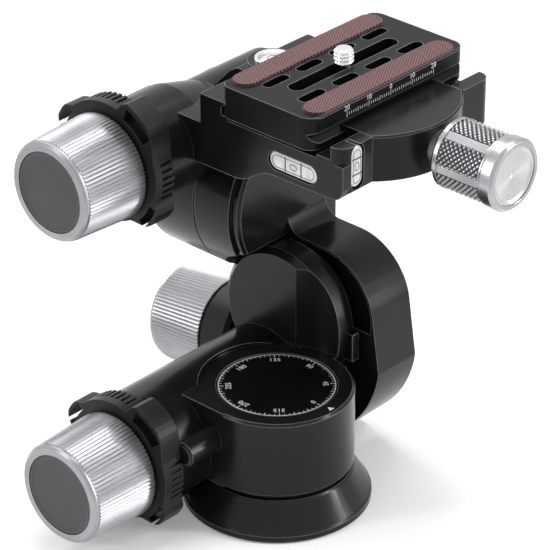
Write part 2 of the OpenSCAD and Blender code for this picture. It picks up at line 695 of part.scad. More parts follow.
// ================= front tilt stage: platform =================
// Outline of the front wall in the XZ plane
module wall_outline() {
  s = 6;
  polygon(concat(
    [[drum_x0 + 0.2, wall_low_z + 9], [drum_x0 + 0.2 + 4, wall_low_z]],
    [[-18, wall_low_z]],
    [for (i = [1 : s - 1]) [-18 + 14 * i / s, blend(wall_low_z, deck_under, i / s)]],
    [[-4, deck_under], [deck_x1 - 4, deck_under + 0.4]],
    [for (a = [-60 : 30 : 0]) [deck_x1 - 4 + 4 * cos(a), deck_under + 4.4 + 4 * sin(a)]],
    [[deck_x1, floor_z - 1.2], [plate_edge_x0 - 2.4, floor_z - 1.2], [plate_edge_x0 - 2.4, housing_top_z],
     [drum_x0 + 0.2 + 4, housing_top_z], [drum_x0 + 0.2, housing_top_z - 3]]));
}
housing_top_z = front_worm_z + front_neck_r;
boss_top_z = 128.4;
end_cap_r = 24;
module platform() {
  taper_y0 = 9;
  taper_y1 = 22;
  fixed_jaw_x0 = plate_edge_x0 - 9;
  color(black_metal) difference() {
    union() {
      // front wall
      translate([0, deck_y0 + wall_t, 0]) rotate([90, 0, 0]) linear_extrude(height = wall_t) wall_outline();
      // deck under the plate
      block([plate_edge_x0 - 2.4, deck_y0, deck_under + 3], [plate_edge_x1 - 1, deck_y1, floor_z - 1.2]);
      block([plate_edge_x0 + 3, deck_y0 + 5, deck_under + 4], [plate_edge_x1 - 5, deck_y1, floor_z]);
      block([plate_edge_x0 - 2.4, deck_y1 - wall_t, deck_under], [deck_x1 - 4, deck_y1, floor_z - 1.2]);
      // fixed jaw
      block([fixed_jaw_x0, deck_y0, floor_z - 6], [plate_edge_x0 + neck_depth, deck_y1, jaw_z1]);
      // corner blocks beside the moving jaw
      corner_block(deck_y0, jaw_y0 - 0.2);
      corner_block(jaw_y1 + 0.2, deck_y1);
      // worm housing over the drum
      translate([front_gear_x, 0, front_worm_z]) turned_y([[front_head_y0, 0], [front_head_y0,
        front_head_r - 1],
        [front_head_y0 + 1, front_head_r], [taper_y0, front_head_r], [taper_y1, front_neck_r],
        [worm_end_y - 3, front_neck_r], [worm_end_y - 0.9, front_neck_r - 0.9], [worm_end_y,
        front_neck_r - 3],
        [worm_end_y, 0]]);
      rod_y(lever_boss_r, front_knob_y + 0.6, front_knob_y + lever_t + 2, front_gear_x, front_worm_z);
      block([front_gear_x, deck_y0, wall_low_z + 3], [fixed_jaw_x0 + 1, 23, housing_top_z]);
      block([front_gear_x, 20, front_worm_z], [fixed_jaw_x0 + 1, worm_end_y, housing_top_z - 3]);
      // boss of the round level
      level_boss();
      // drum half with the gear
      translate([drum_x0, front_y, front_z]) rotate([0, 90, 0]) rotate_extrude()
        polygon([[0, 0], [drum_r - 1.5, 0], [drum_r, 1.5], [drum_r, drum_top_l - 0.5], [drum_r - 0.5,
          drum_top_l],
          [0, drum_top_l]]);
    }
    // room for the arm's drum half
    rod_x(drum_r + face_gap, seam_x - face_gap, plate_edge_x0 + 30, front_y, front_z);
    // dovetail groove of the fixed jaw
    dovetail_room(floor_z);
    // gear room, axle and worm
    rod_x(cavity_r(front_teeth), front_gear_x - gear_w / 2 - 0.6, seam_x + 1, front_y, front_z);
    rod_x(front_axle_r + bush_t + seat_gap, drum_x0 - 1, seam_x, front_y, front_z);
    rod_x(end_cap_r + seat_gap, drum_x0 - 1, drum_x0 + 2, front_y, front_z);
    translate([drum_x0 + 1, front_y, front_z]) rotate([0, 90, 0]) ring(end_cap_r - 2,
      front_axle_r + bush_t + 3, 6);
    front_frame() worm_tunnel(front_teeth, front_knob_y - front_y - 2);
    // seats of the levels
    level_seats();
    // guide pins, clamp screw and lock pin
    for (y = guide_pin_y) rod_x(guide_pin_r + seat_gap, -8, deck_x1, y, guide_pin_z);
    rod_x(clamp_thread_r + 0.4, -10, deck_x1 + 1, clamp_y, clamp_z);
    rod_x(nut_seat_r + seat_gap, plate_edge_x1 - 13, plate_edge_x1, clamp_y, clamp_z);
    translate([lock_pin_x, deck_y0 + 3, floor_z - 4.7]) cylinder(r = lock_pin_r + seat_gap, h = 10);
  }
}
module corner_block(y0, y1) {
  round_r = 4;
  difference() {
    intersection() {
      block([plate_edge_x1 - 1, y0, deck_under + 2.6], [deck_x1, y1, jaw_z1]);
      translate([deck_x1 - 30, deck_y0, 0]) linear_extrude(height = jaw_z1 + 1) translate([15, deck_l / 2])
        rounded_plan(30, deck_l, round_r);
    }
    // the plate's side passes here
    block([plate_edge_x1 - 2, y0 - 1, floor_z - 1.2], [plate_edge_x1 + 0.6, y1 + 1, jaw_z1 + 1]);
  }
}
level_x = -32;
level_y = 33.5;
level_r = 6;
module level_boss() {
  z0 = front_worm_z - 2;
  boss_x0 = level_x - level_r - 3;
  translate([0, worm_end_y - 1, 0]) rotate([90, 0, 0]) linear_extrude(height = worm_end_y - 24)
    polygon([[front_gear_x + 4, z0], [front_gear_x + 4, housing_top_z - 0.6], [boss_x0, boss_top_z - 2],
      [boss_x0 + 3, boss_top_z], [plate_edge_x0 - 4, boss_top_z], [plate_edge_x0 - 4, z0]]);
  translate([level_x, level_y, z0]) cylinder(r = level_r + 2.4, h = boss_top_z + 1 - z0);
}
vial_x = 4.9;
vial_z = 116.7;
side_vial_y = (deck_y0 + jaw_y0) / 2;
side_vial_z = 121.6;
vial_seat = 5;
vial_t = 3.6;
vial_w = 6.4;
vial_l = 19.6;
side_vial_w = 5.6;
side_vial_l = 15;
module level_seats() {
  translate([level_x, level_y, boss_top_z - 4]) cylinder(r = level_r + seat_gap, h = 12);
  translate([vial_x, deck_y0 - 1, vial_z]) rotate([-90, 90, 0])
    linear_extrude(height = vial_seat) slot_2d(vial_w + 2 * seat_gap, vial_l + 2 * seat_gap);
  translate([deck_x1 + 1, side_vial_y, side_vial_z]) rotate([0, -90, 0]) rotate([0, 0, 90])
    linear_extrude(height = vial_seat) slot_2d(side_vial_w + 2 * seat_gap, side_vial_l + 2 * seat_gap);
}
// Room for the plate's dovetail, open upwards
module dovetail_room(z0) {
  g = 0.15;
  x0 = plate_edge_x0 - g;
  x1 = plate_edge_x1 + g;
  n = neck_depth + g;
  translate([0, deck_y1 + 1, 0]) rotate([90, 0, 0]) linear_extrude(height = deck_l + 2)
    polygon([[x0, z0], [x1 + 6, z0], [x1 + 6, z0 + 20], [x0 + n, z0 + 20], [x0 + n, plate_z0 + flange_h + n],
      [x0, plate_z0 + flange_h]]);
}
module front_axle_bush() {
  color(brass) translate([drum_x0 + 2.2, front_y, front_z]) rotate([0, 90, 0])
    ring(front_axle_r + bush_t, front_axle_r + run_gap, front_gear_x - gear_w / 2 - 0.8 - drum_x0 - 2.2);
}
module front_end_cap() {
  color(dark_metal) translate([drum_x0, front_y, front_z]) rotate([0, 90, 0]) cylinder(r = end_cap_r, h = 2);
}
module front_worm_bearings() {
  color(brass) front_frame() worm_bearing_pair(front_teeth, front_knob_y - front_y + worm_front_seat);
}
module bubble_level() {
  color(clear) translate([level_x, level_y, boss_top_z - 4]) cylinder(r = level_r - 1.2, h = 5.6);
}
module bubble_level_ring() {
  color(bright_steel) translate([level_x, level_y, boss_top_z - 4]) difference() {
    cylinder(r = level_r, h = 5.9);
    translate([0, 0, -1]) cylinder(r = level_r - 1.2 + seat_gap, h = 8);
  }
}
module front_level_vial() {
  color(clear) translate([vial_x, deck_y0 + 0.3, vial_z]) rotate([-90, 90, 0])
    linear_extrude(height = vial_t) slot_2d(vial_w, vial_l);
}
module side_level_vial() {
  color(clear) translate([deck_x1 - 0.3, side_vial_y, side_vial_z]) rotate([0, -90, 0]) rotate([0, 0, 90])
    linear_extrude(height = vial_t) slot_2d(side_vial_w, side_vial_l);
}
clamp_thread_r = 2.6;
nut_seat_r = clamp_thread_r + 1;
module clamp_nut() {
  color(brass) translate([plate_edge_x1 - 12.8, clamp_y, clamp_z]) rotate([0, 90, 0])
    ring(nut_seat_r, clamp_thread_r + run_gap, 8);
}
lock_pin_x = -6;
lock_pin_r = 1.6;
module lock_pin() {
  color(bright_steel) translate([lock_pin_x, deck_y0 + 3, floor_z - 4.7]) cylinder(r = lock_pin_r, h = 4.7);
}
guide_pin_r = 1.6;
guide_pin_z = 119;
guide_pin_y = [jaw_y0 + 6, jaw_y1 - 6];
module jaw_guide_pins() {
  color(steel) for (y = guide_pin_y) rod_x(guide_pin_r, -7.8, plate_edge_x1 + 5 + jaw_travel, y, guide_pin_z);
}
module front_worm() {
  color(steel) front_frame() worm(front_teeth, front_knob_y - front_y - shaft_in_knob, worm_end);
}
module front_knob() {
  color(knob_grey) translate([front_gear_x, front_knob_y, front_worm_z]) fluted_knob();
}
module front_knob_cap() {
  color(dark_metal) translate([front_gear_x, front_knob_y, front_worm_z]) knob_face_cap();
}
module front_release_lever() {
  color(black_plastic) translate([front_gear_x, front_knob_y + lever_t + 1 - face_gap,
    front_worm_z]) release_lever();
}

// ================= clamp =================
jaw_x0 = plate_edge_x1 - neck_depth;
module clamp_jaw() {
  bow_r = (pow(clamp_half, 2) + pow(bow_h, 2)) / (2 * bow_h);
  jaw_h = jaw_z1 - jaw_z0;
  bevel_h = 4.6;
  bevel_w = 0.6;
  lip_z = plate_z0 + flange_h;
  lip_x = plate_edge_x1 + jaw_clear;
  color(black_metal) difference() {
    intersection() {
      block([jaw_x0, jaw_y0, jaw_z0], [jaw_bulge, jaw_y1, jaw_z1]);
      union() {
        block([jaw_x0, jaw_y0, jaw_z0], [deck_x1, jaw_y1, jaw_z1]);
        translate([jaw_bulge - bow_r, clamp_y, jaw_z0]) cylinder(r = bow_r, h = jaw_h, $fn = 144);
      }
      // bevelled top edge
      translate([jaw_bulge - bow_r, clamp_y, jaw_z0]) rotate_extrude($fn = 144)
        polygon([[0, 0], [bow_r + 4, 0], [bow_r + 4, jaw_h - bevel_h], [bow_r - bevel_w, jaw_h], [0, jaw_h]]);
    }
    // under the lip: clears the deck and holds the plate's flange
    block([jaw_x0 - 1, jaw_y0 - 1, jaw_z0 - 1], [plate_edge_x1 + jaw_relief, jaw_y1 + 1, lip_z]);
    translate([0, jaw_y1 + 1, 0]) rotate([90, 0, 0]) linear_extrude(height = jaw_y1 - jaw_y0 + 2)
      polygon([[jaw_x0 - 2, lip_z - eps], [lip_x, lip_z - eps], [lip_x, lip_z], [jaw_x0 + jaw_clear,
        lip_z + neck_depth],
        [jaw_x0 - 2, lip_z + neck_depth]]);
    for (y = guide_pin_y) rod_x(guide_pin_r + run_gap, jaw_x0 - 1, plate_edge_x1 + 10, y, guide_pin_z);
    rod_x(clamp_thread_r + run_gap, jaw_x0 - 1, jaw_bulge + 1, clamp_y, clamp_z);
    rod_x(stem_r + run_gap, jaw_bulge - 4, jaw_bulge + 1, clamp_y, clamp_z);
  }
}
clamp_half = (jaw_y1 - jaw_y0) / 2;
bow_h = jaw_bulge - deck_x1;
module clamp_screw() {
  color(bright_steel) union() {
    rod_x(clamp_thread_r, -4, clamp_knob_x0 + 14, clamp_y, clamp_z);
    rod_x(stem_r, jaw_bulge - 3.9, clamp_knob_x0 + 1, clamp_y, clamp_z);
  }
}
clamp_knob_x0 = stem_x1;
module clamp_knob() {
  r = clamp_knob_r;
  ribs = 6;
  rib_w = 2.6;
  rib_turn = 34;
  collar = 2.6;
  grip_r = r - 1.2;
  collar_r = r - 0.4;
  front_ring = 5;
  color(silver) translate([clamp_knob_x0, clamp_y, clamp_z]) difference() {
    union() {
      rotate([0, 90, 0]) rotate_extrude() polygon([[0, 0], [r - 1.6, 0], [collar_r, 1.2], [collar_r,
        collar], [grip_r, collar],
        [grip_r, clamp_knob_l - front_ring - 0.6], [collar_r, clamp_knob_l - front_ring - 0.6],
        [collar_r, clamp_knob_l - front_ring],
        [r, clamp_knob_l - front_ring + 0.6], [r, clamp_knob_l - 1], [r - 1, clamp_knob_l], [0,
        clamp_knob_l]]);
      for (i = [0 : ribs - 1]) rotate([rib_turn + 360 * i / ribs, 0, 0])
        block([collar - 0.5, -rib_w / 2, 0], [clamp_knob_l - front_ring - 0.3, rib_w / 2, r - 0.8]);
    }
    rod_x(clamp_thread_r + seat_gap, 0, 14);
    rod_x(stem_r + seat_gap, -1, 1);
    rod_x(r - 2.2, clamp_knob_l - 1.8, clamp_knob_l + 1);
  }
}
module clamp_knob_cap() {
  r = clamp_knob_r - 2.25;
  color(bright_steel) translate([clamp_knob_x0 + clamp_knob_l - 1.8, clamp_y, clamp_z]) rotate([0, 90, 0])
    rotate_extrude() polygon([[0, 0], [r, 0], [r, 1.5], [r - 0.6, 1.5], [r - 1.4, 1.0], [0, 0.6]]);
}

// ================= quick-release plate =================
pad_w = 8.2;
pad_l = 65;
pad_offset = 14.3;
small_slot_w = 3.7;
small_slot_l = 10.5;
small_slot_pitch = 15.1;
small_slot_offset = 7.3;
pad_recess = 0.6;
module plate_section() {
  h = plate_w / 2;
  edge = 0.5;
  // right half, from the lower face up to the top, then the same mirrored
  half = [[h, 0], [h, flange_h], [h - neck_depth, flange_h + neck_depth], [h - neck_depth,
    plate_t - band_h - 0.6],
    [h, plate_t - band_h], [h, plate_t - edge], [h - edge, plate_t]];
  polygon(concat(half, [for (i = [len(half) - 1 : -1 : 0]) [-half[i][0], half[i][1]]]));
}
module rounded_plan(w, l, r) {
  union() {
    square([w - 2 * r, l], center = true);
    square([w, l - 2 * r], center = true);
    for (x = [-1, 1]) for (y = [-1, 1]) translate([x * (w / 2 - r), y * (l / 2 - r)]) circle(r = r);
  }
}
head_room_w = 14;
head_room_h = 5;
module quick_release_plate() {
  color(black_metal) translate([plate_x, plate_y, plate_z0]) difference() {
    intersection() {
      translate([0, plate_l / 2, 0]) rotate([90, 0, 0]) linear_extrude(height = plate_l) plate_section();
      translate([0, 0, -1]) linear_extrude(height = plate_t + 2) rounded_plan(plate_w, plate_l, 4.5);
    }
    translate([0, 0, -1]) linear_extrude(height = plate_t + 2) slot_2d(slot_w, slot_l);
    translate([0, 0, -1]) linear_extrude(height = head_room_h + 1) slot_2d(head_room_w, slot_l + 8);
    for (x = [-1, 1]) for (i = [-1.5 : 1 : 1.5])
      translate([x * small_slot_offset, i * small_slot_pitch,
        head_room_h + 1]) linear_extrude(height = plate_t)
        slot_2d(small_slot_w, small_slot_l);
    for (x = [-1, 1]) translate([x * pad_offset, 0, plate_t - pad_recess]) linear_extrude(height = 3)
      slot_2d(pad_w + 2 * seat_gap, pad_l + 2 * seat_gap);
    stop_screw_places() translate([0, 0, -1]) cylinder(r = 1.3, h = 6);
  }
}
module plate_pads() {
  color(maroon) translate([plate_x, plate_y, plate_z1 - pad_recess]) for (x = [-1, 1])
    translate([x * pad_offset, 0, 0]) linear_extrude(height = pad_recess + 0.7) slot_2d(pad_w, pad_l);
}
module stop_screw_places() {
  for (s = [-1, 1]) translate([s * (plate_w / 2 - 8.4), s * (plate_l / 2 - 5), 0]) children();
}
module plate_stop_screws() {
  color(steel) translate([plate_x, plate_y, plate_z0]) stop_screw_places() cylinder(r = 1.27, h = 4.6);
}
screw_shank_r = slot_w / 2 - 0.25;
retainer_t = 1;
module screw_retainer() {
  retainer_r = 6;
  color(steel) translate([plate_x, plate_y, plate_z0 + head_room_h - retainer_t])
    ring(retainer_r, screw_shank_r + run_gap, retainer_t);
}
module camera_screw() {
  // the head lies well inside the plate, clear of the deck
  foot = 2;
  head_r = 5.8;
  chamfer = 0.8;
  coin_w = 1.4;
  coin_depth = 1.1;
  color(bright_steel) translate([plate_x, plate_y, plate_z0]) difference() {
    union() {
      translate([0, 0, foot]) cylinder(r = head_r, h = head_room_h - retainer_t - foot);
      translate([0, 0, foot]) cylinder(r = screw_shank_r, h = plate_t + 0.6 - foot);
      rotate_extrude() polygon([[0, plate_t], [screw_shank_r, plate_t], [camera_screw_r, plate_t + chamfer],
        [camera_screw_r, plate_t + camera_screw_h - chamfer], [camera_screw_r - chamfer,
        plate_t + camera_screw_h],
        [0, plate_t + camera_screw_h]]);
    }
    // coin slot
    translate([-head_r - 1, -coin_w / 2, foot - 1]) cube([2 * head_r + 2, coin_w, 1 + coin_depth]);
  }
}

base_flange();
pan_spindle();
spindle_screws();
pan_gear();
thrust_washer();
spindle_nut();
dial_plate();
pan_housing();
spindle_bush();
friction_washer();
pan_worm_bearings();
pan_release_plunger();
side_axle();
side_gear();
pan_worm();
pan_knob();
pan_knob_cap();
pan_release_lever();
tilt_arm();
side_axle_bush();
side_axle_cap();
side_worm_bearings();
side_collar();
front_axle();
front_gear();
side_worm();
side_knob();
side_knob_cap();
platform();
front_axle_bush();
front_end_cap();
front_worm_bearings();
bubble_level();
bubble_level_ring();
front_level_vial();
side_level_vial();
clamp_nut();
lock_pin();
jaw_guide_pins();
front_worm();
front_knob();
front_knob_cap();
front_release_lever();
clamp_jaw();
clamp_screw();
clamp_knob();
clamp_knob_cap();
quick_release_plate();
plate_pads();
plate_stop_screws();
screw_retainer();
camera_screw();
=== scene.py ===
"""Looks of the geared tripod head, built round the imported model.

All places are in metres, in the model's frame: X towards the clamp knob, Y towards the arm, Z up.
"""

import math

import bpy
from mathutils import Matrix, Vector


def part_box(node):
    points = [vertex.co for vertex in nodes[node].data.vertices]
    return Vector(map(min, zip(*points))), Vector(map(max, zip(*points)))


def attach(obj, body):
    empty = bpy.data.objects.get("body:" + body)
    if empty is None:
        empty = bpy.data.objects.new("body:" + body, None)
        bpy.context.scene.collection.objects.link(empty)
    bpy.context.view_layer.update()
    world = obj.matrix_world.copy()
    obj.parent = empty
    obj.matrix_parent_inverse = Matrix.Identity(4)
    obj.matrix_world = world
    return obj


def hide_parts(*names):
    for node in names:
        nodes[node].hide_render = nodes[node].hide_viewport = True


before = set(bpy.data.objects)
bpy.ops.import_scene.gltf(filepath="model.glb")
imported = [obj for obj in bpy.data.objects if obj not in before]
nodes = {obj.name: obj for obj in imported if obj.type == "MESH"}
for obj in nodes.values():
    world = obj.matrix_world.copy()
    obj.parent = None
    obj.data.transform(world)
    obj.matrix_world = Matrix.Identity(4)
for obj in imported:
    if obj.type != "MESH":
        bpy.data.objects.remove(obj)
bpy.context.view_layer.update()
MM = 0.001


# ---------- camera, at the photograph's angle ----------
LENS = 212.27
AZIMUTH = math.radians(42.447)
ELEVATION = math.radians(29.337)
DISTANCE = 991.7 * MM
TARGET = Vector((-0.845, 0, 78.401)) * MM
BACK = Vector((math.sin(AZIMUTH) * math.cos(ELEVATION), -math.cos(AZIMUTH) * math.cos(ELEVATION),
               math.sin(ELEVATION)))
RIGHT = Vector((math.cos(AZIMUTH), math.sin(AZIMUTH), 0))


def place_camera():
    camera = bpy.data.objects.new("camera", bpy.data.cameras.new("camera"))
    bpy.context.scene.collection.objects.link(camera)
    camera.data.lens = LENS
    camera.data.sensor_width = 36
    camera.data.clip_start, camera.data.clip_end = 0.05, 20
    camera.location = TARGET + BACK * DISTANCE
    camera.rotation_mode = "QUATERNION"
    camera.rotation_quaternion = (-BACK).to_track_quat("-Z", "Y")
    bpy.context.scene.camera = camera


# ---------- stage and light ----------
AMBIENT = 0.40
LIT_CENTRE = Vector((-12, 4, 62)) * MM
FLOOR_SHADE = (0.95, 0.95, 0.95, 1)
FLOOR_GLOW = 0.2
FADE_FROM, FADE_TO = 0.12, 0.40


def add(tree, kind, inputs=(), **settings):
    """A shader node with its settings, and its inputs set or linked."""
    made = tree.nodes.new("ShaderNode" + kind)
    for key, value in settings.items():
        setattr(made, key, value)
    for key, value in dict(inputs).items():
        if isinstance(value, bpy.types.NodeSocket):
            tree.links.new(value, made.inputs[key])
        else:
            made.inputs[key].default_value = value
    return made


def seen_rays(tree):
    """1 where the camera, a reflection or glass looks, and 0 where the surface only gives light."""
    rays = add(tree, "LightPath")
    seen = add(tree, "Math", {0: rays.outputs["Is Camera Ray"], 1: rays.outputs["Is Glossy Ray"]},
               operation="ADD")
    both = add(tree, "Math", {0: seen.outputs[0], 1: rays.outputs["Is Transmission Ray"]},
               operation="ADD", use_clamp=True)
    return both.outputs[0]


def light_world():
    """White where the camera, a reflection or glass sees it, and softer as light on the object."""
    world = bpy.data.worlds.new("studio")
    bpy.context.scene.world = world
    world.use_nodes = True
    tree = world.node_tree
    background = tree.nodes["Background"]
    strength = add(tree, "MapRange", {"Value": seen_rays(tree), "To Min": AMBIENT, "To Max": 1.0})
    background.inputs["Color"].default_value = (1, 1, 1, 1)
    tree.links.new(strength.outputs[0], background.inputs["Strength"])


def softbox(name, place, size, power):
    """A flat lamp that faces the object."""
    data = bpy.data.lights.new(name, "AREA")
    data.shape = "RECTANGLE"
    data.size, data.size_y = size
    data.energy = power
    lamp = bpy.data.objects.new(name, data)
    bpy.context.scene.collection.objects.link(lamp)
    lamp.location = LIT_CENTRE + place
    lamp.rotation_mode = "QUATERNION"
    lamp.rotation_quaternion = (-place).to_track_quat("-Z", "Y")


def light_studio():
    up = Vector((0, 0, 1))
    softbox("top_light", up * 0.75 - BACK * 0.18, (0.45, 0.45), 3.6)
    softbox("left_light", RIGHT * -0.75 + BACK * 0.28 + up * 0.30, (0.10, 0.6), 1.7)
    softbox("right_strip", RIGHT * 0.70 + BACK * 0.10 + up * 0.16, (0.07, 0.7), 3.6)
    softbox("back_strip", RIGHT * -0.35 - BACK * 0.6 + up * 0.75, (0.5, 0.12), 1.8)


def lay_floor():
    bpy.ops.mesh.primitive_plane_add(size=6, location=(0, 0, 0))
    floor = bpy.context.object
    floor.name = "floor"
    paint, tree, shader = material("floor_paint")
    shader.inputs["Base Color"].default_value = FLOOR_SHADE
    shader.inputs["Roughness"].default_value = 0.9
    shader.inputs["Specular IOR Level"].default_value = 0.0
    shader.inputs["Emission Color"].default_value = (1, 1, 1, 1)
    shader.inputs["Emission Strength"].default_value = FLOOR_GLOW
    # away from the object the floor goes over into the white background
    distance = add(tree, "VectorMath", {0: object_point(tree)}, operation="LENGTH").outputs["Value"]
    far = spread(tree, distance, FADE_FROM, FADE_TO, 0.0, 1.0)
    share = add(tree, "Math", {0: far, 1: seen_rays(tree)}, operation="MULTIPLY")
    white = add(tree, "Emission", {"Strength": 1.0})
    both = add(tree, "MixShader", {0: share.outputs[0], 1: shader.outputs[0], 2: white.outputs[0]})
    tree.links.new(both.outputs[0], tree.nodes["Material Output"].inputs["Surface"])
    floor.data.materials.append(paint)


# ---------- finishes ----------
TURNING_SCALE = 5400.0
NET_LEAN = 0.62
NET_PITCH = 0.95 * MM
GRIP_R = 10.4 * MM
KNURL_H = 0.75 * MM


def material(name):
    made = bpy.data.materials.new(name)
    made.use_nodes = True
    return made, made.node_tree, made.node_tree.nodes["Principled BSDF"]


def object_point(tree, centre=(0, 0, 0)):
    """Object coordinates measured from a centre in metres."""
    place = add(tree, "TexCoord")
    return add(tree, "Mapping", {"Vector": place.outputs["Object"],
                                 "Location": tuple(-c for c in centre)}).outputs[0]


def spread(tree, value, low, high, to_low, to_high):
    return add(tree, "MapRange", {"Value": value, "From Min": low, "From Max": high,
                                  "To Min": to_low, "To Max": to_high}).outputs[0]


def blend_colour(tree, factor, first, second):
    mix = add(tree, "Mix", data_type="RGBA")
    for socket, value in ((mix.inputs[0], factor), (mix.inputs[6], first), (mix.inputs[7], second)):
        if isinstance(value, bpy.types.NodeSocket):
            tree.links.new(value, socket)
        else:
            socket.default_value = value if isinstance(value, float) else (*value, 1)
    return mix.outputs[2]


def metal(name, colour, edge_highlight_colour, metallic, rough, grain=2600, depth=0.10, round_edge=0.25, level=0.5):
    """A machined or moulded finish: fine grain, clouded gloss, rounded edge normals, and a painted highlight
    that makes outward edges paler.
    """
    made, tree, shader = material(name)
    point = object_point(tree)
    fine = add(tree, "TexNoise", {"Vector": point, "Scale": grain, "Detail": 3.0}).outputs["Fac"]
    cloud = add(tree, "TexNoise", {"Vector": point, "Scale": 55.0, "Detail": 5.0}).outputs["Fac"]
    edge = add(tree, "Bevel", {"Radius": round_edge * MM}, samples=6)
    face = add(tree, "NewGeometry")
    turn = add(tree, "VectorMath", {0: edge.outputs[0], 1: face.outputs["Normal"]},
               operation="DOT_PRODUCT").outputs["Value"]
    # only outward edges get the painted highlight: the open-sky share near an inward crease is low
    sky = add(tree, "AmbientOcclusion", {"Distance": 1.2 * MM}, samples=6, only_local=True).outputs["AO"]
    painted_edge_highlight = add(tree, "Math", {0: spread(tree, turn, 0.996, 0.92, 0.0, 1.0),
                              1: spread(tree, sky, 0.80, 0.97, 0.0, 1.0)}, operation="MULTIPLY").outputs[0]
    shade = tuple(c * 1.25 for c in colour)
    base = blend_colour(tree, spread(tree, cloud, 0.35, 0.65, 0.0, 1.0), colour, shade)
    # painted highlight: along outward edges the base colour goes over into the edge highlight colour
    tree.links.new(blend_colour(tree, painted_edge_highlight, base, edge_highlight_colour), shader.inputs["Base Color"])
    tree.links.new(spread(tree, cloud, 0.3, 0.7, rough - 0.04, rough + 0.05), shader.inputs["Roughness"])
    bump = add(tree, "Bump", {"Height": fine, "Strength": depth, "Distance": 0.02 * MM,
                              "Normal": edge.outputs[0]})
    tree.links.new(bump.outputs[0], shader.inputs["Normal"])
    shader.inputs["Metallic"].default_value = metallic
    shader.inputs["Specular IOR Level"].default_value = level
    return made


def turned_metal(name, colour, rough, centre, axis):
    """Bare metal turned on a lathe, so that its highlight fans out round the axis."""
    made, tree, shader = material(name)
    point = object_point(tree, centre)
    tangent = add(tree, "VectorMath", {0: point, 1: axis}, operation="CROSS_PRODUCT").outputs[0]
    tangent = add(tree, "VectorTransform", {"Vector": tangent}, vector_type="VECTOR",
                  convert_from="OBJECT", convert_to="WORLD").outputs[0]
    tree.links.new(tangent, shader.inputs["Tangent"])
    radius = add(tree, "VectorMath", {0: point}, operation="LENGTH").outputs["Value"]
    rings = add(tree, "TexNoise", {"W": radius, "Scale": TURNING_SCALE, "Detail": 2.0},
                noise_dimensions="1D").outputs["Fac"]
    tree.links.new(blend_colour(tree, rings, tuple(c * 0.9 for c in colour), colour),
                   shader.inputs["Base Color"])
    tree.links.new(spread(tree, rings, 0.2, 0.8, rough - 0.05, rough + 0.07), shader.inputs["Roughness"])
    edge = add(tree, "Bevel", {"Radius": 0.2 * MM}, samples=6)
    bump = add(tree, "Bump", {"Height": rings, "Strength": 0.08, "Distance": 0.02 * MM,
                              "Normal": edge.outputs[0]})
    tree.links.new(bump.outputs[0], shader.inputs["Normal"])
    shader.inputs["Metallic"].default_value = 1.0
    shader.inputs["Anisotropic"].default_value = 0.6
    return made


def knurled_metal(name, centre):
    """Silver knurling along the X axis, with painted shade that darkens its grooves towards black, and bright
    tips.
    """
    made, tree, shader = material(name)
    point = object_point(tree, centre)
    across = add(tree, "VectorMath", {0: point, 1: (0, 1, 1)}, operation="MULTIPLY").outputs[0]
    radius = add(tree, "VectorMath", {0: across}, operation="LENGTH").outputs["Value"]
    height = spread(tree, radius, GRIP_R, GRIP_R + KNURL_H, 0.0, 1.0)
    speck = add(tree, "TexNoise", {"Vector": point, "Scale": 1600.0, "Detail": 2.0}).outputs["Fac"]
    tip = blend_colour(tree, speck, (0.42, 0.425, 0.435), (0.62, 0.625, 0.635))
    # painted shade: the colour goes from near black deep in the grooves to the metal's tone on the tips
    tree.links.new(blend_colour(tree, height, (0.035, 0.035, 0.037), tip), shader.inputs["Base Color"])
    tree.links.new(spread(tree, height, 0.0, 1.0, 0.5, 0.25), shader.inputs["Roughness"])
    shader.inputs["Metallic"].default_value = 1.0
    return made


def pad_mesh(name):
    """Dark red rubber with a raised diamond net of paler threads."""
    made, tree, shader = material(name)
    point = object_point(tree)
    split = add(tree, "SeparateXYZ", {0: point})
    lines = []
    for sign in (1, -1):
        y = add(tree, "Math", {0: split.outputs[1], 1: NET_LEAN * sign}, operation="MULTIPLY").outputs[0]
        along = add(tree, "Math", {0: split.outputs[0], 1: y}, operation="ADD").outputs[0]
        phase = add(tree, "Math", {0: along, 1: 2 * math.pi / NET_PITCH}, operation="MULTIPLY").outputs[0]
        lines.append(add(tree, "Math", {0: phase}, operation="SINE").outputs[0])
    net = add(tree, "Math", {0: lines[0], 1: lines[1]}, operation="MAXIMUM").outputs[0]
    thread = spread(tree, net, 0.62, 0.97, 0.0, 1.0)
    speck = add(tree, "TexNoise", {"Vector": point, "Scale": 1400.0, "Detail": 2.0}).outputs["Fac"]
    dark = blend_colour(tree, speck, (0.030, 0.009, 0.010), (0.060, 0.018, 0.020))
    tree.links.new(blend_colour(tree, thread, dark, (0.25, 0.135, 0.14)), shader.inputs["Base Color"])
    bump = add(tree, "Bump", {"Height": thread, "Strength": 0.8, "Distance": 0.12 * MM})
    tree.links.new(bump.outputs[0], shader.inputs["Normal"])
    shader.inputs["Roughness"].default_value = 0.62
    shader.inputs["Specular IOR Level"].default_value = 0.25
    shader.inputs["Sheen Weight"].default_value = 0.05
    return made


def level_glass(name):
    """Clear acrylic of a level, with pale fluid behind it."""
    made, tree, shader = material(name)
    point = object_point(tree)
    cloud = add(tree, "TexNoise", {"Vector": point, "Scale": 240.0, "Detail": 3.0}).outputs["Fac"]
    tree.links.new(blend_colour(tree, spread(tree, cloud, 0.35, 0.65, 0.0, 1.0), (0.62, 0.64, 0.62),
                                (0.86, 0.87, 0.85)), shader.inputs["Base Color"])
    shader.inputs["Roughness"].default_value = 0.06
    shader.inputs["IOR"].default_value = 1.49
    shader.inputs["Coat Weight"].default_value = 0.6
    return made


